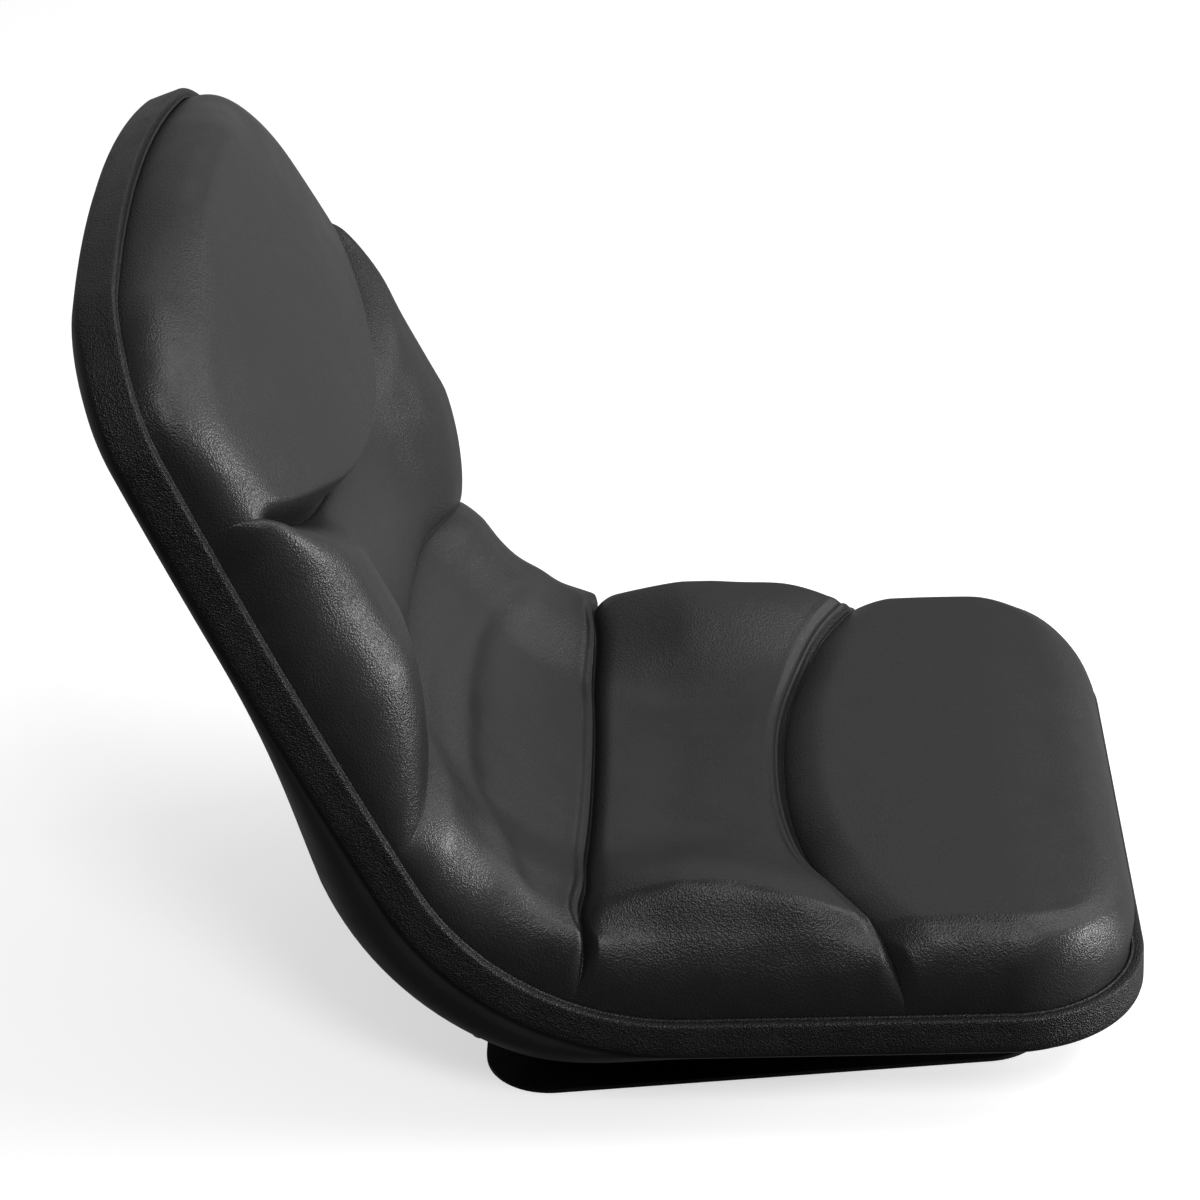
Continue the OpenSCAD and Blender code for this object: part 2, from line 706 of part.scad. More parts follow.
module side_screw(side)
    at_side_screw(side) translate([0, 0, side_lift + 1.23]) button_screw(side_lift + shell_wall + 4);
module side_washer(side) at_side_screw(side) translate([0, 0, side_lift]) cup_washer();
module side_tee_nut(side)
    at_side_screw(side) translate([0, 0, -shell_wall - 1.7]) mirror([0, 0, 1]) tee_nut(shell_wall - 1, 6.5, 1.2);

cushion();
shell();
edge_trim();
base_plate();
front_riser();
rear_screw(1);  // rear_screw_left
rear_screw(-1);  // rear_screw_right
rear_tee_nut(1);  // rear_tee_nut_left
rear_tee_nut(-1);  // rear_tee_nut_right
front_bolt(1);  // front_bolt_left
front_bolt(-1);  // front_bolt_right
front_washer(1);  // front_washer_left
front_washer(-1);  // front_washer_right
front_lock_washer(1);  // front_lock_washer_left
front_lock_washer(-1);  // front_lock_washer_right
front_nut(1);  // front_nut_left
front_nut(-1);  // front_nut_right
riser_screw(1);  // riser_screw_left
riser_screw(-1);  // riser_screw_right
riser_nut(1);  // riser_nut_left
riser_nut(-1);  // riser_nut_right
side_screw(1);  // side_screw_left
side_screw(-1);  // side_screw_right
side_washer(1);  // side_washer_left
side_washer(-1);  // side_washer_right
side_tee_nut(1);  // side_tee_nut_left
side_tee_nut(-1);  // side_tee_nut_right
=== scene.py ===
import math
import bpy
import numpy as np
from mathutils import Matrix, Vector


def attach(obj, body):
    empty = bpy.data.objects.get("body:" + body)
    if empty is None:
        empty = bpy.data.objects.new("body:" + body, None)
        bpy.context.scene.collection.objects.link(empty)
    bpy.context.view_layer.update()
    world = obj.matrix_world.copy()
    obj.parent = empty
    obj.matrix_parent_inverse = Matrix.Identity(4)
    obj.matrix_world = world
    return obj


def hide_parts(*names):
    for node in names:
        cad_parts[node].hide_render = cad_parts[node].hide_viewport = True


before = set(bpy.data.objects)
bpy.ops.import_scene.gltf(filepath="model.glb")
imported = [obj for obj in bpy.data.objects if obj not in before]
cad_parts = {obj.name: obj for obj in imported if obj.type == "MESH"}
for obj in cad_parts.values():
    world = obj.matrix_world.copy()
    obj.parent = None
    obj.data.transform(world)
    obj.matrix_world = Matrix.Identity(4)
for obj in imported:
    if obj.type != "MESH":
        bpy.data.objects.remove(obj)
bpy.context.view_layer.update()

# Tractor seat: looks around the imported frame. Sizes are in millimetres, meshes in metres.
# Rim, cushion, shell and trim share one curved sheet: s runs from the front edge to the top
# of the back, x across, and heights stand square to the sheet, as in the part's source.

mm = 0.001

rim = {
    "width": 476, "frontReach": 239, "height": 91, "seatLength": 291, "bendRadius": 188,
    "backLength": 426, "leanLow": 25.5, "leanTop": 20.5, "frontRadius": 83, "topRadius": 77,
    "crown": 16,
}
half = rim["width"] / 2
turn = 90 - rim["leanLow"]
bendLength = rim["bendRadius"] * math.radians(turn)
backRadius = rim["backLength"] / math.radians(rim["leanLow"] - rim["leanTop"])
rimLength = rim["seatLength"] + bendLength + rim["backLength"]
topFlat = half - rim["topRadius"]
frontFlat = half - rim["frontRadius"]
crownStart = rimLength - 250


# shaping functions, on arrays

def lerp(a, b, t):
    return a + (b - a) * t


def smooth(a, b, v):
    t = np.clip((v - a) / (b - a), 0, 1)
    return t * t * (3 - 2 * t)


def dome(t, n=2):
    return (1 - (1 - np.clip(t, 0, 1)) ** n) ** (1 / n)


def bump(v, middle, width):
    return np.exp(-((v - middle) / width) ** 2)


def slope(s):
    s = np.asarray(s, float)
    onBend = np.clip(s - rim["seatLength"], 0, bendLength) / rim["bendRadius"]
    onBack = np.maximum(s - rim["seatLength"] - bendLength, 0) / backRadius
    return onBend + onBack


def at(s, x, h):
    # point of the sheet at s and x, raised by h, in metres
    s, x, h = np.broadcast_arrays(np.asarray(s, float), np.asarray(x, float), np.asarray(h, float))
    a = slope(s)
    bend = np.minimum(a, math.radians(turn))
    r, R = rim["bendRadius"], backRadius
    y = np.minimum(s, rim["seatLength"]) - rim["frontReach"] + r * np.sin(bend)
    z = rim["height"] + r * (1 - np.cos(bend))
    back = s > rim["seatLength"] + bendLength
    y = y + np.where(back, R * (np.sin(a) - math.sin(math.radians(turn))), 0)
    z = z + np.where(back, R * (math.cos(math.radians(turn)) - np.cos(a)), 0)
    return np.stack([x, y - h * np.sin(a), z + h * np.cos(a)], -1) * mm


def crown(x):
    return rim["crown"] * np.minimum(np.abs(x) / topFlat, 1.3) ** 2


def crowned(s, x):
    return s - crown(x) * np.maximum(s - crownStart, 0) / (rimLength - crownStart)


def uncrown(s, x):
    return np.where(s < crownStart, s,
                    crownStart + (s - crownStart) / (1 - crown(x) / (rimLength - crownStart)))


def corner(r, d):
    return np.where(d >= r, 0, r - np.sqrt(np.maximum(r * r - (r - d) ** 2, 0)))


def halfWidth(s, grow=0):
    front = corner(rim["frontRadius"] + grow, s + grow)
    top = corner(rim["topRadius"] + grow, rimLength + grow - s)
    return half + grow - np.maximum(front, top)


def inset(s, x, grow=0):
    u = uncrown(s, x)
    side = half + grow - np.abs(x)
    end = np.minimum(u, rimLength - u) + grow
    r = np.where(u < rimLength / 2, rim["frontRadius"], rim["topRadius"]) + grow
    inCorner = (side < r) & (end < r)
    return np.where(inCorner, r - np.hypot(r - side, r - end), np.minimum(side, end))


def buildMesh(name, points, faces, material, smoothShade=True):
    mesh = bpy.data.meshes.new(name)
    mesh.from_pydata([tuple(p) for p in points], [], faces)
    mesh.validate()
    if smoothShade:
        mesh.polygons.foreach_set("use_smooth", [True] * len(mesh.polygons))
    mesh.materials.append(material)
    obj = bpy.data.objects.new(name, mesh)
    bpy.context.scene.collection.objects.link(obj)
    return obj


def stripEnd(ring, k):
    # triangles that close a ring: points 0 to k run along its lower side, the rest back
    upper = list(range(len(ring) - 1, k, -1))
    ux = [ring[j][0] for j in upper]
    near = [min(sum(u < (ring[i][0] + ring[i + 1][0]) / 2 for u in ux), len(upper) - 1)
            for i in range(k)]
    faces = [(i, i + 1, upper[near[i]]) for i in range(k)]
    for t in range(len(upper) - 1):
        i = sum(v <= t for v in near)
        faces.append((i, upper[t + 1], upper[t]))
    return faces


def loftMesh(name, rings, k, material):
    rows, n = rings.shape[0], rings.shape[1]
    faces = []
    for i in range(rows - 1):
        a, b = i * n, (i + 1) * n
        faces += [(a + j, a + (j + 1) % n, b + (j + 1) % n, b + j) for j in range(n)]
    faces += [(f[0], f[2], f[1]) for f in stripEnd(rings[0], k)]
    last = (rows - 1) * n
    faces += [tuple(last + j for j in f) for f in stripEnd(rings[-1], k)]
    return buildMesh(name, rings.reshape(-1, 3), faces, material)


# materials

def newGroup(name, inputs, outputs):
    group = bpy.data.node_groups.new(name, "ShaderNodeTree")
    for label, kind, value in inputs:
        socket = group.interface.new_socket(label, in_out="INPUT", socket_type=kind)
        if value is not None:
            socket.default_value = value
    for label, kind in outputs:
        group.interface.new_socket(label, in_out="OUTPUT", socket_type=kind)
    return group, group.nodes.new("NodeGroupInput"), group.nodes.new("NodeGroupOutput")


def grainGroup():
    # leather-like grain: cells of a given size, with soft pores and uneven depth
    group, gi, go = newGroup("hideGrain", [
        ("Vector", "NodeSocketVector", None), ("Cell Size", "NodeSocketFloat", 900.0),
        ("Unevenness", "NodeSocketFloat", 0.5)],
        [("Height", "NodeSocketFloat"), ("Mask", "NodeSocketFloat")])
    nodes, links = group.nodes, group.links
    warp = nodes.new("ShaderNodeTexNoise")
    warp.inputs["Scale"].default_value = 260
    warp.inputs["Detail"].default_value = 2
    warpAmount = nodes.new("ShaderNodeVectorMath"); warpAmount.operation = "MULTIPLY"
    warpAmount.inputs[1].default_value = (0.0016, 0.0016, 0.0016)
    warped = nodes.new("ShaderNodeVectorMath"); warped.operation = "ADD"
    cells = nodes.new("ShaderNodeTexVoronoi"); cells.feature = "SMOOTH_F1"
    cells.inputs["Smoothness"].default_value = 0.35
    pores = nodes.new("ShaderNodeTexNoise")
    pores.inputs["Detail"].default_value = 3
    poreScale = nodes.new("ShaderNodeMath"); poreScale.operation = "MULTIPLY"
    poreScale.inputs[1].default_value = 2.3
    patches = nodes.new("ShaderNodeTexNoise")
    patches.inputs["Scale"].default_value = 34
    patches.inputs["Detail"].default_value = 3
    softPatch = nodes.new("ShaderNodeMapRange")
    softPatch.inputs["From Min"].default_value = 0.36
    softPatch.inputs["From Max"].default_value = 0.66
    depth = nodes.new("ShaderNodeMix"); depth.data_type = "FLOAT"
    depth.inputs[2].default_value = 1.0
    cellHeight = nodes.new("ShaderNodeMath"); cellHeight.operation = "MULTIPLY"
    mixed = nodes.new("ShaderNodeMath"); mixed.operation = "MULTIPLY_ADD"
    mixed.inputs[1].default_value = 0.35
    links.new(gi.outputs["Vector"], warp.inputs["Vector"])
    links.new(warp.outputs["Color"], warpAmount.inputs[0])
    links.new(gi.outputs["Vector"], warped.inputs[0])
    links.new(warpAmount.outputs[0], warped.inputs[1])
    links.new(warped.outputs[0], cells.inputs["Vector"])
    links.new(gi.outputs["Cell Size"], cells.inputs["Scale"])
    links.new(gi.outputs["Cell Size"], poreScale.inputs[0])
    links.new(poreScale.outputs[0], pores.inputs["Scale"])
    links.new(gi.outputs["Vector"], pores.inputs["Vector"])
    links.new(gi.outputs["Vector"], patches.inputs["Vector"])
    links.new(patches.outputs["Fac"], softPatch.inputs["Value"])
    links.new(gi.outputs["Unevenness"], depth.inputs[0])
    links.new(softPatch.outputs[0], depth.inputs[3])
    links.new(cells.outputs["Distance"], cellHeight.inputs[0])
    links.new(depth.outputs[0], cellHeight.inputs[1])
    links.new(pores.outputs["Fac"], mixed.inputs[0])
    links.new(cellHeight.outputs[0], mixed.inputs[2])
    links.new(mixed.outputs[0], go.inputs["Height"])
    links.new(softPatch.outputs[0], go.inputs["Mask"])
    return group


hideGrain = grainGroup()


def grainedMaterial(name, look):
    # a grained finish: two tones, a range of gloss, and grain as a bump
    material = bpy.data.materials.new(name)
    material.use_nodes = True
    nodes, links = material.node_tree.nodes, material.node_tree.links
    shader = nodes["Principled BSDF"]
    place = nodes.new("ShaderNodeTexCoord")
    grain = nodes.new("ShaderNodeGroup"); grain.node_tree = hideGrain
    grain.inputs["Cell Size"].default_value = look["cells"]
    grain.inputs["Unevenness"].default_value = look["unevenness"]
    tone = nodes.new("ShaderNodeMix"); tone.data_type = "RGBA"
    tone.inputs[6].default_value = (*look["dark"], 1)
    tone.inputs[7].default_value = (*look["light"], 1)
    gloss = nodes.new("ShaderNodeMapRange")
    gloss.inputs["To Min"].default_value = look["roughness"][0]
    gloss.inputs["To Max"].default_value = look["roughness"][1]
    relief = nodes.new("ShaderNodeBump")
    relief.inputs["Strength"].default_value = look["strength"]
    relief.inputs["Distance"].default_value = look["depth"]
    links.new(place.outputs["Object"], grain.inputs["Vector"])
    links.new(grain.outputs["Mask"], tone.inputs[0])
    links.new(grain.outputs["Mask"], gloss.inputs["Value"])
    links.new(grain.outputs["Height"], relief.inputs["Height"])
    links.new(tone.outputs[2], shader.inputs["Base Color"])
    links.new(gloss.outputs[0], shader.inputs["Roughness"])
    links.new(relief.outputs["Normal"], shader.inputs["Normal"])
    shader.inputs["Specular IOR Level"].default_value = look["specular"]
    shader.inputs["Coat Weight"].default_value = look.get("coat", 0)
    shader.inputs["Coat Roughness"].default_value = look.get("coatRoughness", 0.3)
    shader.inputs["Metallic"].default_value = look.get("metallic", 0)
    return material


looks = {
    "vinylSkin": {"cells": 780, "unevenness": 0.55, "dark": (0.0165, 0.0165, 0.0168),
                  "light": (0.018, 0.018, 0.0184), "roughness": (0.34, 0.39), "strength": 0.6,
                  "depth": 0.0006, "specular": 0.5},
    "trimRubber": {"cells": 900, "unevenness": 0.15, "dark": (0.0095, 0.0095, 0.0095),
                   "light": (0.012, 0.012, 0.012), "roughness": (0.36, 0.46), "strength": 0.6,
                   "depth": 0.0017, "specular": 0.5},
    # the thin bead beside the cushion: the trim's own black, set a little darker than the trim as
    # painted shade for the dark gap between trim and cushion
    "trimLipPaintedShade": {"cells": 1500, "unevenness": 0.2, "dark": (0.008, 0.008, 0.008),
                "light": (0.01, 0.01, 0.01), "roughness": (0.36, 0.42), "strength": 0.1,
                "depth": 0.0003, "specular": 0.6},
    "shellPlastic": {"cells": 1500, "unevenness": 0.3, "dark": (0.03, 0.03, 0.0305),
                     "light": (0.035, 0.035, 0.0355), "roughness": (0.42, 0.5), "strength": 0.06,
                     "depth": 0.0003, "specular": 0.5},
    "blackPaint": {"cells": 1900, "unevenness": 0.2, "dark": (0.003, 0.003, 0.003),
                   "light": (0.004, 0.004, 0.004), "roughness": (0.4, 0.5), "strength": 0.08,
                   "depth": 0.0003, "specular": 0.45},
    "zincSteel": {"cells": 2600, "unevenness": 0.5, "dark": (0.42, 0.42, 0.41),
                  "light": (0.56, 0.56, 0.55), "roughness": (0.24, 0.36), "strength": 0.05,
                  "depth": 0.0002, "specular": 0.5, "metallic": 1.0},
    "washerBlack": {"cells": 2200, "unevenness": 0.3, "dark": (0.01, 0.01, 0.01),
                    "light": (0.016, 0.016, 0.016), "roughness": (0.3, 0.4), "strength": 0.05,
                    "depth": 0.0002, "specular": 0.5},
}
materials = {name: grainedMaterial(name, look) for name, look in looks.items()}
print("materials made")


# cushion

cushionSizes = {
    "frontPad": 58, "frontBulge": 9, "hollow": 48, "bolster": 85, "lowBack": 36, "lumbar": 34,
    "wing": 65.5, "upperPad": 62, "frontGroove": 223, "frontBow": 51, "seatGroove": 367,
    "seatBow": 14, "crease": 567, "creaseBow": 30, "padGroove": 690, "padBow": 62,
    "skirt": 7, "underGap": 4.5, "bead": 2.2, "beadWidth": 1.5,
    "dip": 1.1, "lip": 0.9, "shoulder": 47, "rowsPerPad": 64, "across": 241,
}


def frontGroove(x):
    c = cushionSizes
    return c["frontGroove"] - c["frontBow"] * (np.abs(x) / 205) ** 2.3


def seatGroove(x):
    c = cushionSizes
    bow = np.minimum(np.abs(x) / 195, 1) ** 2.5 - smooth(205, 238, np.abs(x))
    return c["seatGroove"] + c["seatBow"] * bow


def creaseLine(x):
    return cushionSizes["crease"] - cushionSizes["creaseBow"] * (np.abs(x) / 215) ** 2.6


def padGroove(x):
    return cushionSizes["padGroove"] + cushionSizes["padBow"] * (np.abs(x) / 200) ** 2


def topEdge(x):
    return rimLength - crown(x)


def pillow(h, low0, w0, low1, w1, from0, from1, n=1.5):
    rear = low0 + (h - low0) * dome(from0 / w0, n)
    return low1 + (rear - low1) * dome(from1 / w1, n)


def cushionBase(s, x):
    c = cushionSizes
    ax = np.abs(x)
    b = smooth(105, 180, ax)
    bowl = smooth(80, 196, ax)
    wing = smooth(60, 175, ax)
    c1, c2, c3, c4 = frontGroove(x), seatGroove(x), creaseLine(x), padGroove(x)
    cut = smooth(208, 236, ax)
    low1, low2 = lerp(39, 50, b) - 24 * cut, lerp(24, 38, b) - 16 * cut
    low3 = lerp(12, 28, b)
    low4 = lerp(lerp(22, 20, b), 44, smooth(210, 232, ax))
    t0 = s / c1
    front = (c["frontPad"] - 4 * (1 - t0) + 3 * np.sin(math.pi * t0)
             + 2 * smooth(110, 205, ax) - 7 * (1 - smooth(10, 80, s)))
    pad0 = pillow(front, 0, 0.01, low1, 28, s + 1, c1 - s)
    t1 = (s - c1) / (c2 - c1)
    # the seat ends in a short steep face over the rear groove
    step = low2 + 13 * dome((c2 - s) / 12)
    hollow = pillow(c["hollow"] + 2 - 6 * t1, low1, 22, step, 40, s - c1, c2 - s)
    bolster = pillow(c["bolster"], low1, 100, step, 90, s - c1, c2 - s, 1.6)
    pad1 = lerp(hollow, bolster, bowl)
    t2 = (s - c2) / (c3 - c2)
    ridge = 6 * bump(s, 510 - 58 * (ax / 205) ** 2.2, 18)
    middle = c["lowBack"] - 16 * t2 + ridge
    sides = 50 - 14 * t2 + ridge / 2
    pad2 = pillow(lerp(middle, sides, b), low2, 16, low3, 22, s - c2, c3 - s)
    t3 = (s - c3) / (c4 - c3)
    rise = low3 + (lerp(c["lumbar"], c["wing"] - 5 * t3, wing) - low3) * dome((s - c3) / 90, 1.3)
    pad3 = low4 + (rise - low4) * dome((c4 - s) / 40)
    top = lerp(40, 30, (s - c4) / (rimLength - c4))
    pad4 = pillow(top, low4, 30, 0, 0.01, s - c4, np.ones_like(s))
    return np.select([s < c1, s < c2, s < c3, s < c4], [pad0, pad1, pad2, pad3], pad4)


def upperPad(s, x):
    v = np.where(s > 800, (s - 800) / 230, (800 - s) / 98)
    wide = lerp(203, 240, smooth(725, 775, s))
    r = np.sqrt((np.abs(x) / wide) ** 2 + v ** 2)
    return smooth(-5, 9, (1 - r) * 100)


def sideRoll(s, x):
    return (28 + 22 * smooth(380, 560, s) - 13 * smooth(690, 770, s)
            + lerp(-12, 40, smooth(60, 180, np.abs(x))) * smooth(820, 900, s))


def seamBeads(s, x):
    # behind the bottom of the two seat grooves, a thin raised line, a dip and a soft lip
    c = cushionSizes
    fade = 1 - smooth(205, 232, np.abs(x))
    total = 0
    for groove, line, dip, lip in ((frontGroove(x), 5, 9, 13.5), (seatGroove(x), 5.5, 11, 18)):
        total = total + c["bead"] * bump(s, groove + line, c["beadWidth"])
        total = total - c["dip"] * bump(s, groove + dip, (lip - dip) / 2)
        total = total + c["lip"] * bump(s, groove + lip, (lip - dip) / 1.7)
    return total * fade


def cushionHeight(s, x):
    face = (cushionSizes["upperPad"] * (1 - 0.32 * (np.abs(x) / 225) ** 2.5)
            - 13 * smooth(740, 920, s))
    h = lerp(cushionBase(s, x), face, upperPad(s, x)) + seamBeads(s, x)
    d = inset(s, x)
    rolled = h * dome(d / sideRoll(s, x), 2 + 0.8 * smooth(690, 780, s))
    # round the seat the side stands up to a shoulder and the pads rise behind it
    low = np.minimum(h, cushionSizes["shoulder"])
    reach = 28 + 10 * smooth(205, 260, s)
    stepped = low * dome(d / 15) + (h - low) * smooth(5, reach, d)
    return lerp(stepped, rolled, smooth(375, 450, s)) * dome(s / 40) ** 0.6


def cushionTop(s, x):
    h = cushionHeight(s, x)
    lean = (cushionSizes["frontBulge"] * smooth(2, 22, h) * (1 - smooth(0, 70, s))
            * (1 - smooth(130, 215, np.abs(x))))
    return at(s - lean, x, h)


shellSizes = {
    "wall": 4, "edge": 22, "out": 6.4, "rimHeight": 88, "belly": 10, "taper": 49, "bowl": 143,
    "ledgeDepth": 71, "ledgePlace": 80,
}


def shellDepth(s):
    c = shellSizes
    return c["rimHeight"] + c["belly"] * smooth(310, 400, s) - c["taper"] * smooth(402, 700, s)


def ledge(s, x):
    p = shellSizes["ledgePlace"]
    return (smooth(p - 30, p - 16, s) * (1 - smooth(p + 16, p + 32, s))
            * (1 - smooth(149, 178, np.abs(x))))


def bowlDepth(s, x, grow, edge, depth, width, ledgeDepth):
    d = inset(s, x, grow)
    n = 1.25 + 0.6 * smooth(290, 380, s)
    return lerp(lerp(edge, depth, dome(np.maximum(d, 0) / width, n)), ledgeDepth, ledge(s, x))


def outerDepth(s, x):
    c = shellSizes
    return bowlDepth(s, x, c["out"], c["edge"], shellDepth(s), c["bowl"], c["ledgeDepth"])


def innerDepth(s, x):
    c = shellSizes
    return bowlDepth(s, x, c["out"] - c["wall"], c["edge"] - 1, shellDepth(s) - c["wall"],
                     c["bowl"] - 1, c["ledgeDepth"] - c["wall"])


def rowPlace(k, t, x):
    lines = [lambda v: 0 * v, frontGroove, seatGroove, creaseLine, padGroove, topEdge]
    if k == 0:
        g = cushionSizes["frontGroove"]
        return t * g + (frontGroove(x) - g) * t * t
    return lerp(lines[k](x), lines[k + 1](x), t)


def rowHalf(k, t):
    low, high = 0.0, half
    for _ in range(40):
        w = (low + high) / 2
        if inset(rowPlace(k, t, np.array(w)), np.array(w)) > 0:
            low = w
        else:
            high = w
    atFront, atTop = k == 0 and t == 0, k == 4 and t == 1
    return frontFlat if atFront else topFlat if atTop else low


def closeEnds(count, amount):
    # steps from 0 to 1 that lie closer together near both ends
    u = np.linspace(0, 1, count)
    return u - amount * np.sin(2 * math.pi * u) / (2 * math.pi)


def closeSides(count, amount):
    u = np.linspace(-1, 1, count)
    return (1 - amount) * u + amount * np.sin(u * math.pi / 2)


def makeCushion():
    c = cushionSizes
    rings = []
    under = closeSides(17, 0.5)
    over = closeSides(c["across"], 0.75)[::-1]
    for k in range(5):
        steps = closeEnds(c["rowsPerPad"] + 1, 0.86)
        for t in steps if k == 4 else steps[:-1]:
            w = rowHalf(k, t)
            xu = under * w
            su = rowPlace(k, t, xu)
            deep = np.where(inset(su, xu) < 0.5, -c["skirt"], -innerDepth(su, xu) + c["underGap"])
            xo = over * w
            rings.append(np.concatenate([at(su, xu, deep), cushionTop(rowPlace(k, t, xo), xo)]))
    obj = loftMesh("seatCushion", np.array(rings), len(under) - 1, materials["vinylSkin"])
    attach(obj, "root")
    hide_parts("cushion")
    return obj


cushion = makeCushion()
print("cushion made", len(cushion.data.polygons))


# shell

def makeShell():
    c = shellSizes
    # the edge stands a little back inside the trim
    out, wall = c["out"] - 1.4, c["wall"] - 1.4
    far = rim["frontRadius"] + out
    arc = [far * (1 - math.cos(math.radians(a))) for a in range(26, 88, 4)]
    ends = [0, 0.5, 1.2, 2.2, wall - 0.3, wall + 0.3, 6, 8] + arc
    ends = sorted(v for v in ends)
    start = [v - out for v in ends]
    stop = [rimLength + out - v for v in ends[::-1]]
    places = start + list(np.linspace(start[-1], stop[0], 112)[1:-1]) + stop
    rings = []
    over = closeSides(121, 0.8)
    for place in places:
        w = float(halfWidth(place, out))
        v = min(float(halfWidth(place, out - wall)), w - 1.5)
        xo = over * w
        so = crowned(place, xo)
        xi = (over * (v - 0.3))[::-1]
        si = crowned(place, xi)
        inside = place > wall - out and place < rimLength + out - wall
        deep = -innerDepth(si, xi) if inside else 0 * xi
        lip = np.array([w, v + 0.3])
        rings.append(np.concatenate([
            at(so, xo, -outerDepth(so, xo)), at(crowned(place, lip), lip, 0 * lip),
            at(si, xi, deep), at(crowned(place, lip), -lip[::-1], 0 * lip)]))
    obj = loftMesh("bucketShell", np.array(rings), len(over) - 1, materials["shellPlastic"])
    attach(obj, "root")
    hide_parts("shell")
    return obj


shell = makeShell()
print("shell made", len(shell.data.polygons))


# edge trim: a U section round the rim, with a thin bead beside the cushion

trimSizes = {"gap": 0.4, "leg": 2.4, "height": 22, "lip": 9, "arcSteps": 28, "sideSteps": 90}


def rimStations():
    # places round the rim line, right half then left: s, x and the outward direction
    n = trimSizes["arcSteps"]
    fr, tr = rim["frontRadius"], rim["topRadius"]
    right = [(0, x, -1, 0) for x in np.linspace(0, half - fr, 9)[:-1]]
    for a in np.radians(np.linspace(0, 90, n + 1)):
        right.append((fr * (1 - math.cos(a)), half - fr * (1 - math.sin(a)), -math.cos(a), math.sin(a)))
    for s in np.linspace(fr, rimLength - tr, trimSizes["sideSteps"] + 1)[1:-1]:
        right.append((s, half, 0, 1))
    for a in np.radians(np.linspace(0, 90, n + 1)):
        right.append((rimLength - tr * (1 - math.sin(a)), half - tr * (1 - math.cos(a)),
                      math.sin(a), math.cos(a)))
    right += [(rimLength, x, 1, 0) for x in np.linspace(topFlat, 0, 17)[1:]]
    left = [(s, -x, os, -ox) for s, x, os, ox in right[-2:0:-1]]
    return np.array(right + left)


def trimSection():
    # outline of the section: outward from the rim line, and height above the sheet
    c = trimSizes
    legIn = c["gap"] + 2 * c["leg"] / 3
    legOut = shellSizes["out"] + c["gap"]
    face = legOut + c["leg"]
    crest = [(face - 0.9 * (1 - math.cos(a)), 0.9 + 1.7 * math.sin(a))
             for a in np.radians([10, 35, 60, 85])]
    bead = [(c["gap"] + 1.1 + 1.1 * math.cos(a), 1.9 + 1.0 * math.sin(a))
            for a in np.radians([20, 50, 80, 110, 140, 170, 200])]
    foot = [(legOut + 1.2 + 1.2 * math.cos(a), -c["height"] + 1 + 1.0 * math.sin(a))
            for a in np.radians([180, 215, 250, 290, 325])]
    return np.array([
        (c["gap"], -c["lip"] + 0.4), (c["gap"] + 0.4, -c["lip"]), (legIn - 0.3, -c["lip"]),
        (legIn, -c["lip"] + 0.3), (legIn, 0.2), (legOut, 0.2), *foot,
        (face + 0.35, -c["height"] + 2.6), (face + 0.3, -14), (face + 0.2, -8), (face, -2),
        *crest, (face - 2.2, 2.75), (c["gap"] + 2.9, 2.5), (c["gap"] + 2.5, 2.2), *bead])


def makeTrim():
    stations, section = rimStations(), trimSection()
    m, n = len(stations), len(section)
    x = stations[:, None, 1] + section[None, :, 0] * stations[:, None, 3]
    s = crowned(stations[:, None, 0] + section[None, :, 0] * stations[:, None, 2], x)
    points = at(s, x, np.broadcast_to(section[None, :, 1], x.shape)).reshape(-1, 3)
    faces = []
    for i in range(m):
        a, b = i * n, (i + 1) % m * n
        faces += [(a + j, b + j, b + (j + 1) % n, a + (j + 1) % n) for j in range(n)]
    obj = buildMesh("edgeTrim", points, faces, materials["trimRubber"])
    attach(obj, "root")
    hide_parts("edge_trim")
    return obj


trim = makeTrim()
print("edge trim made", len(trim.data.polygons))


# the trim's thin inner bead follows the rim line; its tone, a little darker than the trim, is painted
# shade for the gap beside the cushion

lipBead = {"radius": 0.8, "sides": 10, "outward": 1.4, "height": 2.1}


def tubeGroup():
    # a round tube of a given radius along the edges of a mesh
    group = bpy.data.node_groups.new("tubeAlongPath", "GeometryNodeTree")
    group.is_modifier = True
    for label, kind, way in (("Geometry", "NodeSocketGeometry", "INPUT"),
                             ("Radius", "NodeSocketFloat", "INPUT"),
                             ("Sides", "NodeSocketInt", "INPUT"),
                             ("Material", "NodeSocketMaterial", "INPUT"),
                             ("Geometry", "NodeSocketGeometry", "OUTPUT")):
        group.interface.new_socket(label, in_out=way, socket_type=kind)
    nodes, links = group.nodes, group.links
    gi, go = nodes.new("NodeGroupInput"), nodes.new("NodeGroupOutput")
    path = nodes.new("GeometryNodeMeshToCurve")
    ring = nodes.new("GeometryNodeCurvePrimitiveCircle")
    tube = nodes.new("GeometryNodeCurveToMesh")
    soft = nodes.new("GeometryNodeSetShadeSmooth")
    real = nodes.new("GeometryNodeRealizeInstances")
    coat = nodes.new("GeometryNodeSetMaterial")
    links.new(gi.outputs["Geometry"], path.inputs["Mesh"])
    links.new(gi.outputs["Sides"], ring.inputs["Resolution"])
    links.new(gi.outputs["Radius"], ring.inputs["Radius"])
    links.new(path.outputs["Curve"], tube.inputs["Curve"])
    links.new(ring.outputs["Curve"], tube.inputs["Profile Curve"])
    links.new(tube.outputs["Mesh"], soft.inputs["Geometry"])
    links.new(soft.outputs["Geometry"], real.inputs["Geometry"])
    links.new(real.outputs["Geometry"], coat.inputs["Geometry"])
    links.new(gi.outputs["Material"], coat.inputs["Material"])
    links.new(coat.outputs["Geometry"], go.inputs["Geometry"])
    return group


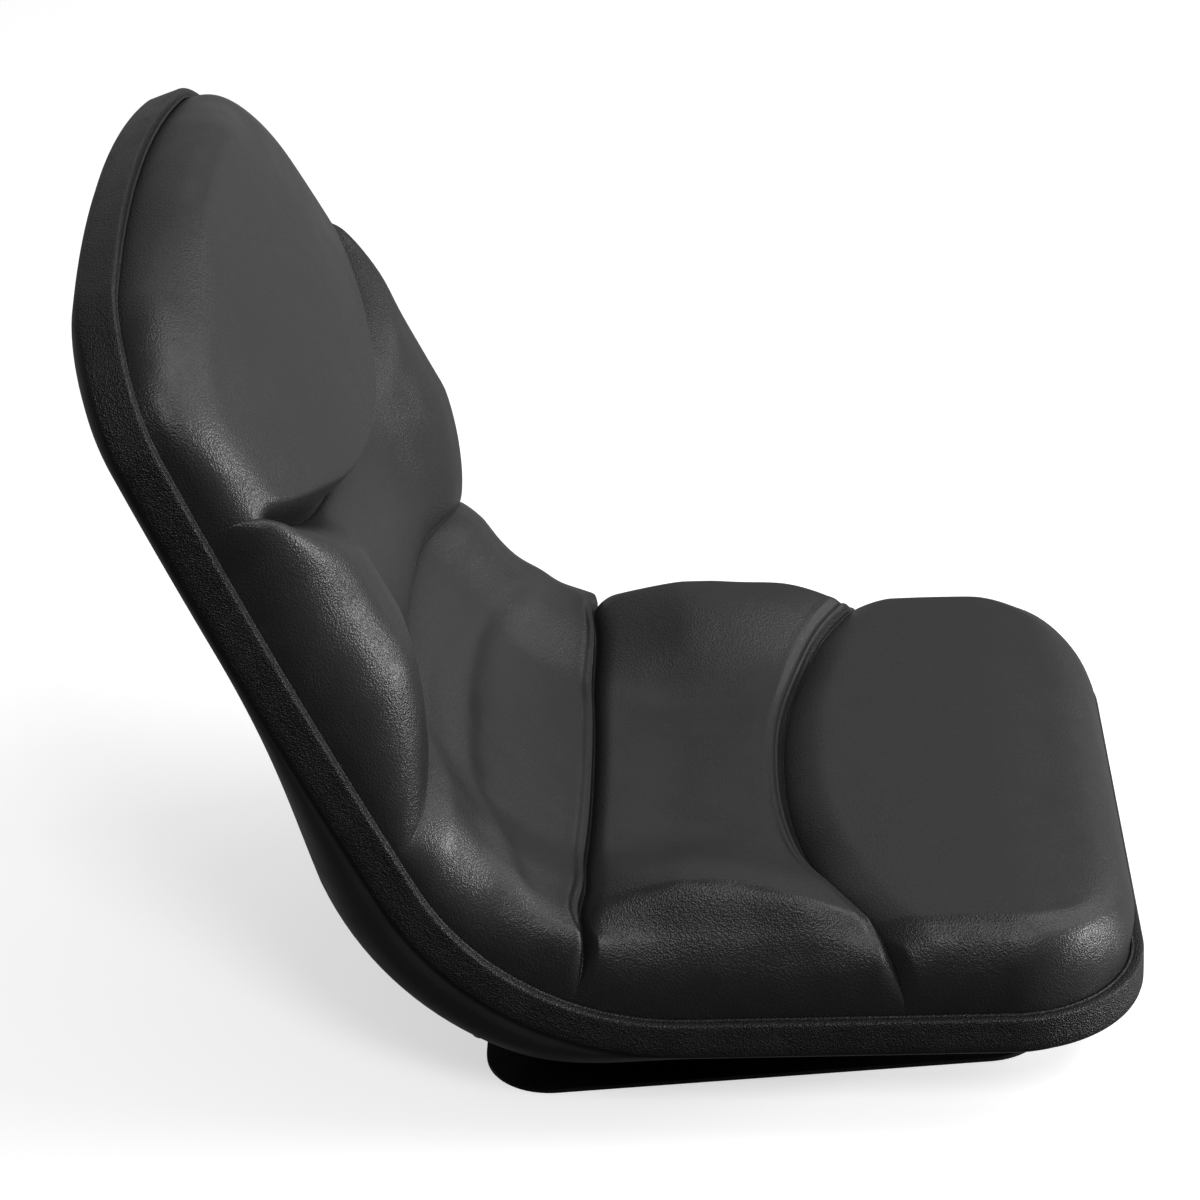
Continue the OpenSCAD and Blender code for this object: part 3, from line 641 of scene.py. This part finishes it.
def makeLipBead():
    b, stations = lipBead, rimStations()
    x = stations[:, 1] + b["outward"] * stations[:, 3]
    s = crowned(stations[:, 0] + b["outward"] * stations[:, 2], x)
    points = at(s, x, b["height"])
    n = len(points)
    mesh = bpy.data.meshes.new("trimLipBead")
    mesh.from_pydata([tuple(p) for p in points], [(i, (i + 1) % n) for i in range(n)], [])
    obj = bpy.data.objects.new("trimLipBead", mesh)
    bpy.context.scene.collection.objects.link(obj)
    group = tubeGroup()
    modifier = obj.modifiers.new("tube", "NODES")
    modifier.node_group = group
    given = {"Radius": b["radius"] * mm, "Sides": b["sides"], "Material": materials["trimLipPaintedShade"]}
    for item in group.interface.items_tree:
        if item.in_out == "INPUT" and item.name in given:
            modifier[item.identifier] = given[item.name]
    depsgraph = bpy.context.evaluated_depsgraph_get()
    made = bpy.data.meshes.new_from_object(obj.evaluated_get(depsgraph))
    obj.modifiers.remove(modifier)
    obj.data = made
    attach(obj, "root")
    return obj


bead = makeLipBead()
print("trim bead made", len(bead.data.polygons))


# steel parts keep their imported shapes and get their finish

finishes = {"blackPaint": ["base_plate", "front_riser"],
            "washerBlack": ["side_washer_left", "side_washer_right"]}
finished = [n for names in finishes.values() for n in names]
finishes["zincSteel"] = [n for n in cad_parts
                         if n not in finished + ["cushion", "shell", "edge_trim"]]
for look, names in finishes.items():
    for name in names:
        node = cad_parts[name]
        node.data.materials.clear()
        node.data.materials.append(materials[look])
print("steel parts finished")


# stage, lights and camera

view = {
    "position": (-2.19328, 0.01407, 1.46325), "pitch": 28.5, "yaw": 2.4, "roll": -2.5,
    "lens": 111,
    # strength of the soft surroundings along each axis, first its low side, then its high one
    "sky": {"X": (0.9, 6.6), "Y": (7.5, 1.2), "Z": (0.1, 4.6)},
    "lights": [
        # name, place, size, power, aim
        ("frontSoftbox", (0, -2.4, 1.5), (2.0, 1.6), 4, (0, 0.1, 0.3)),
        ("frontFarBox", (1.3, -2.1, 1.4), (1.1, 1.0), 8, (0, 0.1, 0.3)),
        ("topFrontBox", (0, -1.4, 2.5), (1.8, 1.0), 20, (0, 0.1, 0.3)),
        ("topFarBox", (1.7, 0, 2.4), (1.6, 1.8), 4, (0, 0.1, 0.3)),
        ("frontLowBox", (-0.2, -2.5, 0.45), (0.6, 0.5), 42, (0, 0.1, 0.3)),
        ("nearSpark", (-2.4, -0.6, 2.6), (0.7, 0.7), 30, (0, 0.1, 0.3)),
    ],
}


def makeCamera():
    e, yaw, roll = (math.radians(view[k]) for k in ("pitch", "yaw", "roll"))
    ahead = Vector((math.cos(e) * math.cos(yaw), math.cos(e) * math.sin(yaw), -math.sin(e)))
    right = ahead.cross(Vector((0, 0, 1))).normalized()
    up = right.cross(ahead)
    side = math.cos(roll) * right + math.sin(roll) * up
    top = -math.sin(roll) * right + math.cos(roll) * up
    data = bpy.data.cameras.new("camera")
    data.lens = view["lens"]
    data.sensor_width = 36
    data.sensor_fit = "HORIZONTAL"
    data.clip_end = 50
    camera = bpy.data.objects.new("camera", data)
    camera.matrix_world = Matrix((
        (side.x, top.x, -ahead.x, view["position"][0]),
        (side.y, top.y, -ahead.y, view["position"][1]),
        (side.z, top.z, -ahead.z, view["position"][2]), (0, 0, 0, 1)))
    bpy.context.scene.collection.objects.link(camera)
    bpy.context.scene.camera = camera


def makeLights():
    for name, place, size, power, aim in view["lights"]:
        data = bpy.data.lights.new(name, "AREA")
        data.shape = "RECTANGLE"
        data.size, data.size_y = size
        data.energy = power
        lamp = bpy.data.objects.new(name, data)
        lamp.location = place
        lamp.rotation_euler = (Vector(aim) - Vector(place)).to_track_quat("-Z", "Y").to_euler()
        bpy.context.scene.collection.objects.link(lamp)
    world = bpy.data.worlds.new("studio")
    world.use_nodes = True
    nodes, links = world.node_tree.nodes, world.node_tree.links
    soft = nodes["Background"]
    place = nodes.new("ShaderNodeTexCoord")
    split = nodes.new("ShaderNodeSeparateXYZ")
    links.new(place.outputs["Generated"], split.inputs[0])
    total = None
    for axis, (low, high) in view["sky"].items():
        side = nodes.new("ShaderNodeMath"); side.operation = "GREATER_THAN"
        side.inputs[1].default_value = 0
        level = nodes.new("ShaderNodeMix"); level.data_type = "FLOAT"
        level.inputs[2].default_value, level.inputs[3].default_value = low, high
        square = nodes.new("ShaderNodeMath"); square.operation = "POWER"
        square.inputs[1].default_value = 2
        size = nodes.new("ShaderNodeMath"); size.operation = "ABSOLUTE"
        part = nodes.new("ShaderNodeMath"); part.operation = "MULTIPLY_ADD"
        part.inputs[2].default_value = 0
        links.new(split.outputs[axis], side.inputs[0])
        links.new(split.outputs[axis], size.inputs[0])
        links.new(side.outputs[0], level.inputs[0])
        links.new(size.outputs[0], square.inputs[0])
        links.new(square.outputs[0], part.inputs[0])
        links.new(level.outputs[0], part.inputs[1])
        if total:
            links.new(total.outputs[0], part.inputs[2])
        total = part
    links.new(total.outputs[0], soft.inputs["Strength"])
    pale = nodes.new("ShaderNodeBackground")
    pale.inputs["Color"].default_value = (0.98, 0.98, 0.98, 1)
    seen = nodes.new("ShaderNodeMixShader")
    ray = nodes.new("ShaderNodeLightPath")
    links.new(ray.outputs["Is Camera Ray"], seen.inputs[0])
    links.new(soft.outputs[0], seen.inputs[1])
    links.new(pale.outputs[0], seen.inputs[2])
    links.new(seen.outputs[0], nodes["World Output"].inputs["Surface"])
    bpy.context.scene.world = world


def makeFloor():
    mesh = bpy.data.meshes.new("floor")
    size = 30
    mesh.from_pydata([(-size, -size, -0.0002), (size, -size, -0.0002), (size, size, -0.0002),
                      (-size, size, -0.0002)], [], [(0, 1, 2, 3)])
    paper = bpy.data.materials.new("palePaper")
    paper.use_nodes = True
    nodes, links = paper.node_tree.nodes, paper.node_tree.links
    shader = nodes["Principled BSDF"]
    shader.inputs["Base Color"].default_value = (0.9, 0.9, 0.9, 1)
    shader.inputs["Roughness"].default_value = 0.9
    shader.inputs["Specular IOR Level"].default_value = 0.1
    shader.inputs["Emission Color"].default_value = (1, 1, 1, 1)
    shader.inputs["Emission Strength"].default_value = 0.6
    # light from below reaches the seat through the floor, which only the camera sees
    clear = nodes.new("ShaderNodeBsdfTransparent")
    seen = nodes.new("ShaderNodeMixShader")
    ray = nodes.new("ShaderNodeLightPath")
    links.new(ray.outputs["Is Camera Ray"], seen.inputs[0])
    links.new(clear.outputs[0], seen.inputs[1])
    links.new(shader.outputs[0], seen.inputs[2])
    links.new(seen.outputs[0], nodes["Material Output"].inputs["Surface"])
    mesh.materials.append(paper)
    floor = bpy.data.objects.new("floor", mesh)
    bpy.context.scene.collection.objects.link(floor)


makeCamera()
makeLights()
makeFloor()
bpy.context.scene.view_settings.view_transform = "Standard"
print("stage set")
